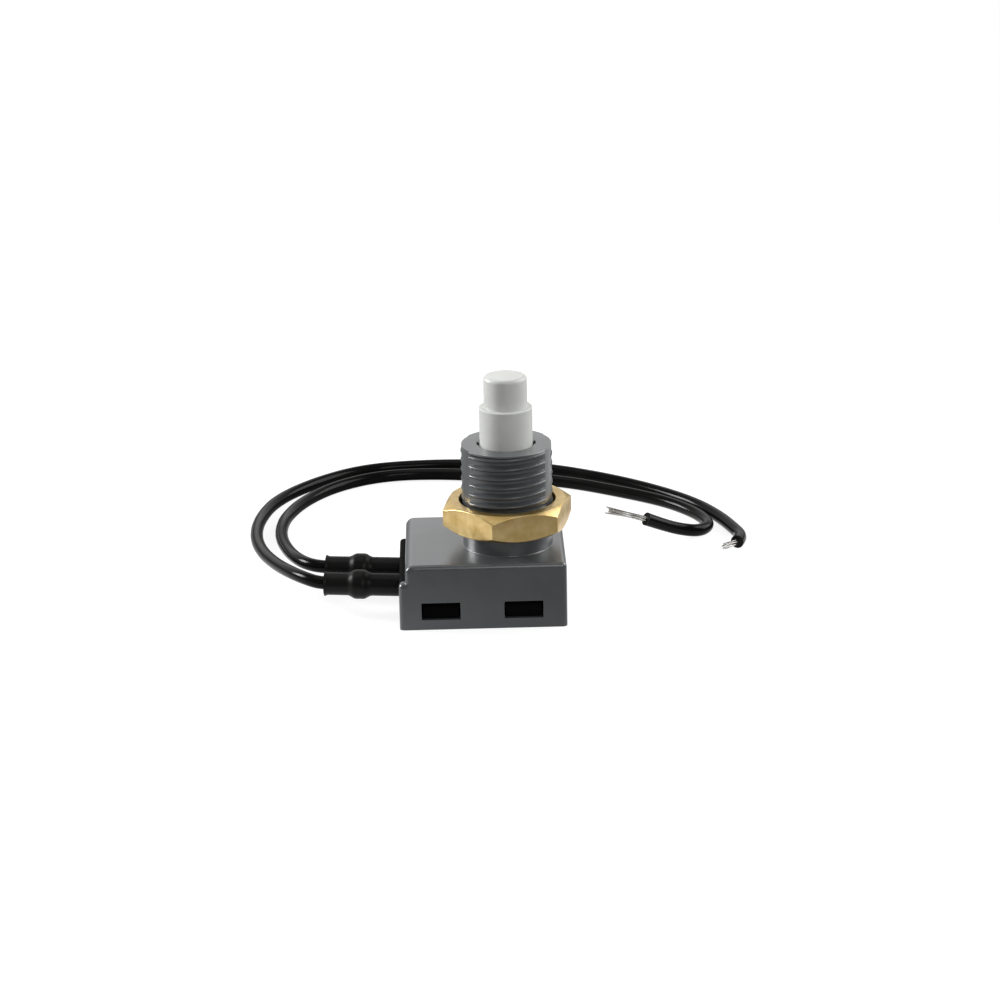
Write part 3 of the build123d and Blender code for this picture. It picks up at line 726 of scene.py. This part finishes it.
def polish_tops(material):
    """Polishes the roof and the rim of the moulding; its walls and thread stay satin."""
    tree = material.node_tree
    shader = tree.nodes["Principled BSDF"]
    shader.inputs["Coat Roughness"].default_value = POLISH_ROUGHNESS
    height = add_place(tree, "Object")["Z"]
    to_roof, off_roof, to_rim = (
        add_ramp(tree, height, [z * MM for z in ends], levels)
        for ends, levels in (
            (POLISH_TO_ROOF, (0.0, 1.0)),
            (POLISH_OFF_ROOF, (1.0, 0.0)),
            (POLISH_TO_RIM, (0.0, 1.0)),
        )
    )
    roof = add_math(tree, "MULTIPLY", to_roof, off_roof)
    tops = add_math(tree, "MAXIMUM", roof, to_rim)
    tree.links.new(add_math(tree, "MULTIPLY", tops, POLISH), shader.inputs["Coat Weight"])


def make_finishes():
    """One material for each finish of the switch, by the record's slot."""
    play = make_surface_play()
    finishes = {slot: make_finish(play, **finish) for slot, finish in FINISHES.items()}
    polish_tops(finishes["body_plastic"])
    return finishes


def dress(piece, material):
    """Gives a piece one material."""
    piece.data.materials.clear()
    piece.data.materials.append(material)


def make_lamps():
    """Soft lamps around and above the switch."""
    for name, place, width, power in LAMPS:
        data = bpy.data.lights.new(name, "AREA")
        data.shape = "SQUARE"
        data.size = width * MM
        data.energy = power
        lamp = add_object(name, data)
        lamp.location = Vector(place) * MM
        aim = (Vector(LAMP_TARGET) - Vector(place)).to_track_quat("-Z", "Y")
        lamp.rotation_euler = aim.to_euler()


def add_sight(tree, in_gloss):
    """Where rays show the surroundings, and how bright: 1 to the camera, another value in gloss."""
    rays = tree.nodes.new("ShaderNodeLightPath").outputs
    seen = rays["Is Camera Ray"]
    for name in ("Is Glossy Ray", "Is Transmission Ray"):
        seen = add_math(tree, "MAXIMUM", seen, rays[name])
    return seen, add_blend(tree, rays["Is Camera Ray"], in_gloss, 1.0)


def make_floor():
    """A pale floor that reads white and keeps the shadow; in gloss it dims in front and far off."""
    bpy.ops.object.select_all(action="DESELECT")
    bpy.ops.mesh.primitive_plane_add(size=FLOOR_SIZE * MM)
    floor = bpy.context.object
    floor.name = "floor"
    material = bpy.data.materials.new("floor_paper")
    material.use_nodes = True
    tree = material.node_tree
    shader = tree.nodes["Principled BSDF"]
    shader.inputs["Base Color"].default_value = (FLOOR_TONE, FLOOR_TONE, FLOOR_TONE, 1)
    shader.inputs["Roughness"].default_value = 1.0
    shader.inputs["Specular IOR Level"].default_value = 0.0
    shader.inputs["Emission Color"].default_value = (1, 1, 1, 1)
    depth = add_place(tree, "Object", FLOOR_TURN)["Y"]
    front = add_ramp(tree, depth, [y * MM for y in FLOOR_FRONT], (GLOSS_FRONT, 1.0))
    far = add_ramp(tree, depth, [y * MM for y in FLOOR_FADE], (1.0, GLOSS_FAR))
    seen, brightness = add_sight(tree, add_math(tree, "MULTIPLY", front, far))
    shown = add_math(tree, "MULTIPLY", seen, brightness)
    lift = add_math(tree, "MULTIPLY", shown, FLOOR_LIFT)
    tree.links.new(lift, shader.inputs["Emission Strength"])
    dress(floor, material)


def make_room():
    """White surroundings; in gloss they are a bright band behind the switch, dimmer elsewhere."""
    world = bpy.data.worlds.new("room")
    bpy.context.scene.world = world
    world.use_nodes = True
    tree = world.node_tree
    background = tree.nodes["Background"]
    background.inputs["Color"].default_value = (1, 1, 1, 1)
    facing = add_place(tree, "Generated")
    band = add_ramp(tree, facing["Y"], ROOM_DEPTH, (GLOSS_FRONT, 1.0))
    for ends in ROOM_EDGES:
        edge = add_ramp(tree, facing["Z"], ends, (GLOSS_FAR, 1.0))
        band = add_math(tree, "MULTIPLY", band, edge)
    seen, brightness = add_sight(tree, band)
    tree.links.new(add_blend(tree, seen, ROOM_LIGHT, brightness), background.inputs["Strength"])


make_camera()
leads = {side: make_lead(side) for side in SIDES}
strands = {side: make_strands(side) for side in SIDES}
for side in SIDES:
    on_lead = [strands[side]]
    on_lead += [nodes[stem + side] for stem in ("lead_tail_", "splice_", "sleeve_")]
spring = make_spring()
button = make_button()
nut = make_nut()
ridges = [make_side_ridges(side) for side in SIDE_RIDGE_FOOT]

finishes = make_finishes()
for subpart in frame["record"]["subparts"]:
    dress(nodes[subpart["node"]], finishes[subpart["material_slot"]])
for piece in [*leads.values(), *strands.values(), spring, button, nut, *ridges]:
    dress(piece, finishes[piece["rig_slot"]])

make_lamps()
make_floor()
make_room()
bpy.context.scene.view_settings.view_transform = "Standard"

bpy.context.view_layer.update()
